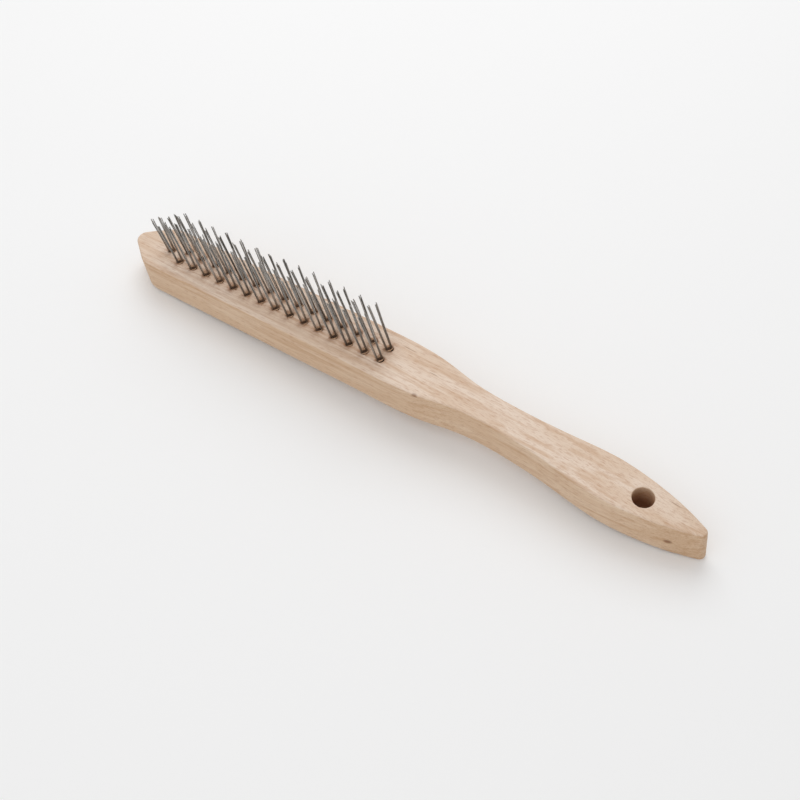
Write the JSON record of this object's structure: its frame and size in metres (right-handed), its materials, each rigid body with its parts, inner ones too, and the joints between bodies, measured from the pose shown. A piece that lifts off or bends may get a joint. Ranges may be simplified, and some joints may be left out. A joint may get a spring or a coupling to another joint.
{
  "type": "wire brush",
  "caption": "Hand wire brush with a bent beech handle, a rounded nose, U-bent steel wire tufts in two rows held by hidden anchors, and a hang hole near the tip.",
  "frame": {"origin": "on the flat back of the head, on the centre line, straight below the middle of the bristle field", "axes": "+X from the rounded nose towards the handle tip, +Z out of the bristles, +Y to the right-hand row as seen from the handle"},
  "size_m": [0.29, 0.0244, 0.0573],
  "materials": {
    "wood": "plain sanded beech, unvarnished, fine lengthwise grain with short darker flecks",
    "bristle_wire": "drawn carbon steel wire, dull grey with bright glints",
    "anchor_steel": "flat galvanised steel strip, hidden in the holes"
  },
  "bodies": {
    "root": {"handle_block": "wood", "tuft_anchors": "anchor_steel", "nose_tuft": "bristle_wire", "left_row_tuft_01": "bristle_wire", "left_row_tuft_02": "bristle_wire", "left_row_tuft_03": "bristle_wire", "left_row_tuft_04": "bristle_wire", "left_row_tuft_05": "bristle_wire", "left_row_tuft_06": "bristle_wire", "left_row_tuft_07": "bristle_wire", "left_row_tuft_08": "bristle_wire", "left_row_tuft_09": "bristle_wire", "left_row_tuft_10": "bristle_wire", "left_row_tuft_11": "bristle_wire", "left_row_tuft_12": "bristle_wire", "left_row_tuft_13": "bristle_wire", "left_row_tuft_14": "bristle_wire", "left_row_tuft_15": "bristle_wire", "right_row_tuft_01": "bristle_wire", "right_row_tuft_02": "bristle_wire", "right_row_tuft_03": "bristle_wire", "right_row_tuft_04": "bristle_wire", "right_row_tuft_05": "bristle_wire", "right_row_tuft_06": "bristle_wire", "right_row_tuft_07": "bristle_wire", "right_row_tuft_08": "bristle_wire", "right_row_tuft_09": "bristle_wire", "right_row_tuft_10": "bristle_wire", "right_row_tuft_11": "bristle_wire", "right_row_tuft_12": "bristle_wire", "right_row_tuft_13": "bristle_wire", "right_row_tuft_14": "bristle_wire", "right_row_tuft_15": "bristle_wire"}
  },
  "joints": []
}
